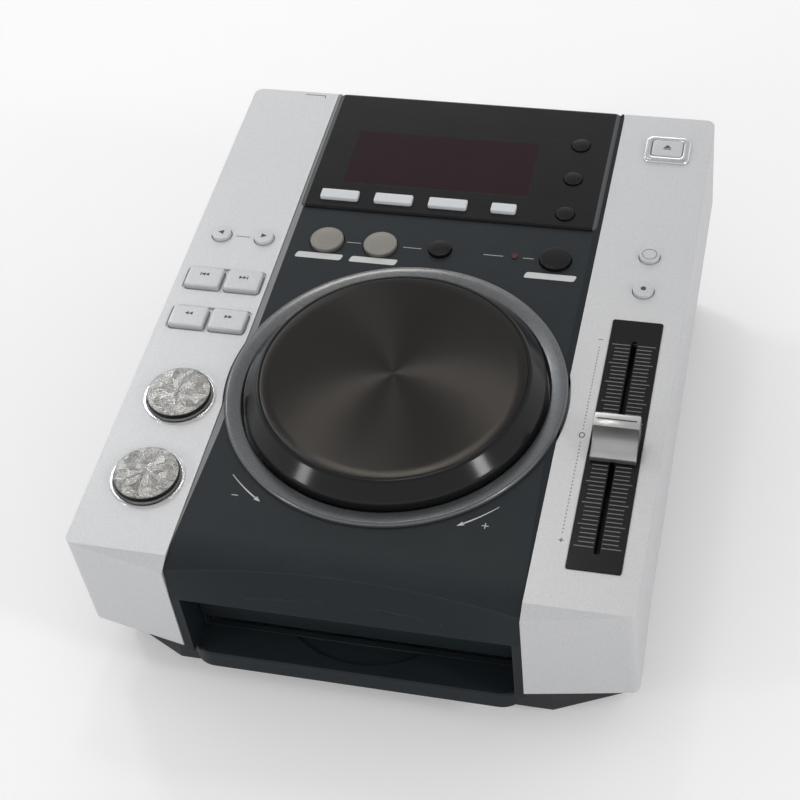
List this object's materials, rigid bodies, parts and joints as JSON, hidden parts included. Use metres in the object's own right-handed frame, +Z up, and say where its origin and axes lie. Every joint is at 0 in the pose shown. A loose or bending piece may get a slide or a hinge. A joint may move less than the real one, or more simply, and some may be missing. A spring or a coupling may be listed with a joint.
{
  "type": "tabletop dj cd player",
  "caption": "Compact tabletop disc player for mixing: slot loader under the front apron, jog wheel, tempo fader, display panel and sprung keys on a leaning deck.",
  "frame": {"origin": "middle of the bounding box's bottom face, on the surface under the rubber feet", "axes": "+Z up, +Y from the loading mouth to the rear connectors, +X to the user's right"},
  "size_m": [0.221, 0.2858, 0.1073],
  "materials": {
    "pan_black": "fine textured black paint",
    "rubber": "matt rubber",
    "zinc_steel": "zinc plated sheet steel",
    "silver_paint": "silver metallic paint with fine sparkle",
    "console_blue_black": "dark blue-grey semi-matt paint",
    "panel_black": "black satin plastic",
    "smoked_window": "smoked clear plastic with a faint red cast",
    "display_glass": "dark glass tube",
    "satin_ring": "satin dark metallic paint",
    "chrome_trim": "bright chrome plate",
    "black_plastic": "black moulded plastic",
    "lamp_red": "unlit red lamp lens",
    "board_green": "circuit board lacquer",
    "rod_steel": "ground steel",
    "nickel": "nickel plate",
    "jog_gloss": "glossy black plastic",
    "brushed_black": "radially brushed, black anodised",
    "knob_silver": "silver with a brushed face",
    "roller_rubber": "soft feed rubber",
    "key_silver": "silver paint",
    "key_white": "pale silver plastic",
    "key_faceted": "plated plastic under clear",
    "key_translucent": "beige-grey translucent plastic"
  },
  "bodies": {
    "root": {"base_pan": "pan_black", "console_cover": "console_blue_black", "control_board": "board_green", "cover_key_boards": "board_green", "disc_guide": "black_plastic", "display_module": "display_glass", "display_panel": "panel_black", "display_window": "smoked_window", "eject_frame": "chrome_trim", "fader_body": "black_plastic", "fader_plate": "panel_black", "housing_screws": "zinc_steel", "jog_bearing": "zinc_steel", "jog_well": "satin_ring", "key_rings": "chrome_trim", "left_cover": "silver_paint", "loader_base": "zinc_steel", "loading_lip": "console_blue_black", "loop_lamp": "lamp_red", "main_board": "board_green", "mains_inlet": "black_plastic", "power_board": "board_green", "power_switch_body": "black_plastic", "rear_panel": "pan_black", "right_cover": "silver_paint", "rubber_feet": "rubber", "signal_jacks": "nickel", "sled_rods": "rod_steel", "slot_frame": "console_blue_black", "spindle_motor": "zinc_steel"},
    "jog": {"jog_wheel": "jog_gloss", "jog_plate": "brushed_black", "jog_shaft": "rod_steel"},
    "fader": {"fader_knob": "knob_silver"},
    "turntable": {"turntable": "black_plastic"},
    "feed_roller": {"feed_roller": "roller_rubber"},
    "pickup": {"pickup_sled": "black_plastic"},
    "power_key": {"power_key": "black_plastic"},
    "folder_back_key": {"folder_back_key": "key_silver"},
    "folder_forward_key": {"folder_forward_key": "key_silver"},
    "track_back_key": {"track_back_key": "key_silver"},
    "track_forward_key": {"track_forward_key": "key_silver"},
    "search_back_key": {"search_back_key": "key_silver"},
    "search_forward_key": {"search_forward_key": "key_silver"},
    "cue_key": {"cue_key": "key_faceted"},
    "play_key": {"play_key": "key_faceted"},
    "tempo_range_key": {"tempo_range_key": "key_silver"},
    "master_tempo_key": {"master_tempo_key": "key_silver"},
    "loop_in_key": {"loop_in_key": "key_translucent"},
    "loop_out_key": {"loop_out_key": "key_translucent"},
    "reloop_key": {"reloop_key": "panel_black"},
    "beat_loop_key": {"beat_loop_key": "panel_black"},
    "text_key": {"text_key": "panel_black"},
    "time_key": {"time_key": "panel_black"},
    "auto_cue_key": {"auto_cue_key": "panel_black"},
    "effect_left_key": {"effect_left_key": "key_white"},
    "effect_middle_key": {"effect_middle_key": "key_white"},
    "effect_right_key": {"effect_right_key": "key_white"},
    "hold_key": {"hold_key": "key_white"},
    "eject_key": {"eject_key": "key_silver"}
  },
  "joints": [
    {"name": "jog_spin", "type": "hinge", "parent": "root", "child": "jog", "pos_m": [0, -0.04351, 0.0893], "axis": [0, -0.0941, 0.9956], "continuous": true},
    {"name": "fader_slide", "type": "slide", "parent": "root", "child": "fader", "axis": [0, 0.9956, 0.0941], "range_m": [-0.0483, 0.0539]},
    {"name": "turntable_spin", "type": "hinge", "parent": "root", "child": "turntable", "pos_m": [0, -0.05123, 0.0275], "axis": [0, -0.0941, 0.9956], "continuous": true},
    {"name": "roller_spin", "type": "hinge", "parent": "root", "child": "feed_roller", "pos_m": [0, -0.1096, 0.02339], "axis": [1, 0, 0], "continuous": true},
    {"name": "pickup_slide", "type": "slide", "parent": "root", "child": "pickup", "axis": [0, 0.9956, 0.0941], "range_m": [0, 0.03]},
    {"name": "power_press", "type": "slide", "parent": "root", "child": "power_key", "axis": [0, -1, 0], "range_m": [0, 0.003], "stiffness_N_per_m": 200, "springref_m": -0.001},
    {"name": "folder_back_press", "type": "slide", "parent": "root", "child": "folder_back_key", "axis": [0, 0.0941, -0.9956], "range_m": [0, 0.001], "stiffness_N_per_m": 300, "springref_m": -0.0005},
    {"name": "folder_forward_press", "type": "slide", "parent": "root", "child": "folder_forward_key", "axis": [0, 0.0941, -0.9956], "range_m": [0, 0.001], "stiffness_N_per_m": 300, "springref_m": -0.0005},
    {"name": "track_back_press", "type": "slide", "parent": "root", "child": "track_back_key", "axis": [0, 0.0941, -0.9956], "range_m": [0, 0.001], "stiffness_N_per_m": 300, "springref_m": -0.0005},
    {"name": "track_forward_press", "type": "slide", "parent": "root", "child": "track_forward_key", "axis": [0, 0.0941, -0.9956], "range_m": [0, 0.001], "stiffness_N_per_m": 300, "springref_m": -0.0005},
    {"name": "search_back_press", "type": "slide", "parent": "root", "child": "search_back_key", "axis": [0, 0.0941, -0.9956], "range_m": [0, 0.001], "stiffness_N_per_m": 300, "springref_m": -0.0005},
    {"name": "search_forward_press", "type": "slide", "parent": "root", "child": "search_forward_key", "axis": [0, 0.0941, -0.9956], "range_m": [0, 0.001], "stiffness_N_per_m": 300, "springref_m": -0.0005},
    {"name": "cue_press", "type": "slide", "parent": "root", "child": "cue_key", "axis": [0, 0.0941, -0.9956], "range_m": [0, 0.001], "stiffness_N_per_m": 300, "springref_m": -0.0005},
    {"name": "play_press", "type": "slide", "parent": "root", "child": "play_key", "axis": [0, 0.0941, -0.9956], "range_m": [0, 0.001], "stiffness_N_per_m": 300, "springref_m": -0.0005},
    {"name": "tempo_range_press", "type": "slide", "parent": "root", "child": "tempo_range_key", "axis": [0, 0.0941, -0.9956], "range_m": [0, 0.001], "stiffness_N_per_m": 300, "springref_m": -0.0005},
    {"name": "master_tempo_press", "type": "slide", "parent": "root", "child": "master_tempo_key", "axis": [0, 0.0941, -0.9956], "range_m": [0, 0.001], "stiffness_N_per_m": 300, "springref_m": -0.0005},
    {"name": "loop_in_press", "type": "slide", "parent": "root", "child": "loop_in_key", "axis": [0, 0.0941, -0.9956], "range_m": [0, 0.001], "stiffness_N_per_m": 300, "springref_m": -0.0005},
    {"name": "loop_out_press", "type": "slide", "parent": "root", "child": "loop_out_key", "axis": [0, 0.0941, -0.9956], "range_m": [0, 0.001], "stiffness_N_per_m": 300, "springref_m": -0.0005},
    {"name": "reloop_press", "type": "slide", "parent": "root", "child": "reloop_key", "axis": [0, 0.0941, -0.9956], "range_m": [0, 0.001], "stiffness_N_per_m": 300, "springref_m": -0.0005},
    {"name": "beat_loop_press", "type": "slide", "parent": "root", "child": "beat_loop_key", "axis": [0, 0.0941, -0.9956], "range_m": [0, 0.001], "stiffness_N_per_m": 300, "springref_m": -0.0005},
    {"name": "text_press", "type": "slide", "parent": "root", "child": "text_key", "axis": [0, 0.0941, -0.9956], "range_m": [0, 0.001], "stiffness_N_per_m": 300, "springref_m": -0.0005},
    {"name": "time_press", "type": "slide", "parent": "root", "child": "time_key", "axis": [0, 0.0941, -0.9956], "range_m": [0, 0.001], "stiffness_N_per_m": 300, "springref_m": -0.0005},
    {"name": "auto_cue_press", "type": "slide", "parent": "root", "child": "auto_cue_key", "axis": [0, 0.0941, -0.9956], "range_m": [0, 0.001], "stiffness_N_per_m": 300, "springref_m": -0.0005},
    {"name": "effect_left_press", "type": "slide", "parent": "root", "child": "effect_left_key", "axis": [0, 0.0941, -0.9956], "range_m": [0, 0.001], "stiffness_N_per_m": 300, "springref_m": -0.0005},
    {"name": "effect_middle_press", "type": "slide", "parent": "root", "child": "effect_middle_key", "axis": [0, 0.0941, -0.9956], "range_m": [0, 0.001], "stiffness_N_per_m": 300, "springref_m": -0.0005},
    {"name": "effect_right_press", "type": "slide", "parent": "root", "child": "effect_right_key", "axis": [0, 0.0941, -0.9956], "range_m": [0, 0.001], "stiffness_N_per_m": 300, "springref_m": -0.0005},
    {"name": "hold_press", "type": "slide", "parent": "root", "child": "hold_key", "axis": [0, 0.0941, -0.9956], "range_m": [0, 0.001], "stiffness_N_per_m": 300, "springref_m": -0.0005},
    {"name": "eject_press", "type": "slide", "parent": "root", "child": "eject_key", "axis": [0, 0.0941, -0.9956], "range_m": [0, 0.001], "stiffness_N_per_m": 300, "springref_m": -0.0005}
  ]
}
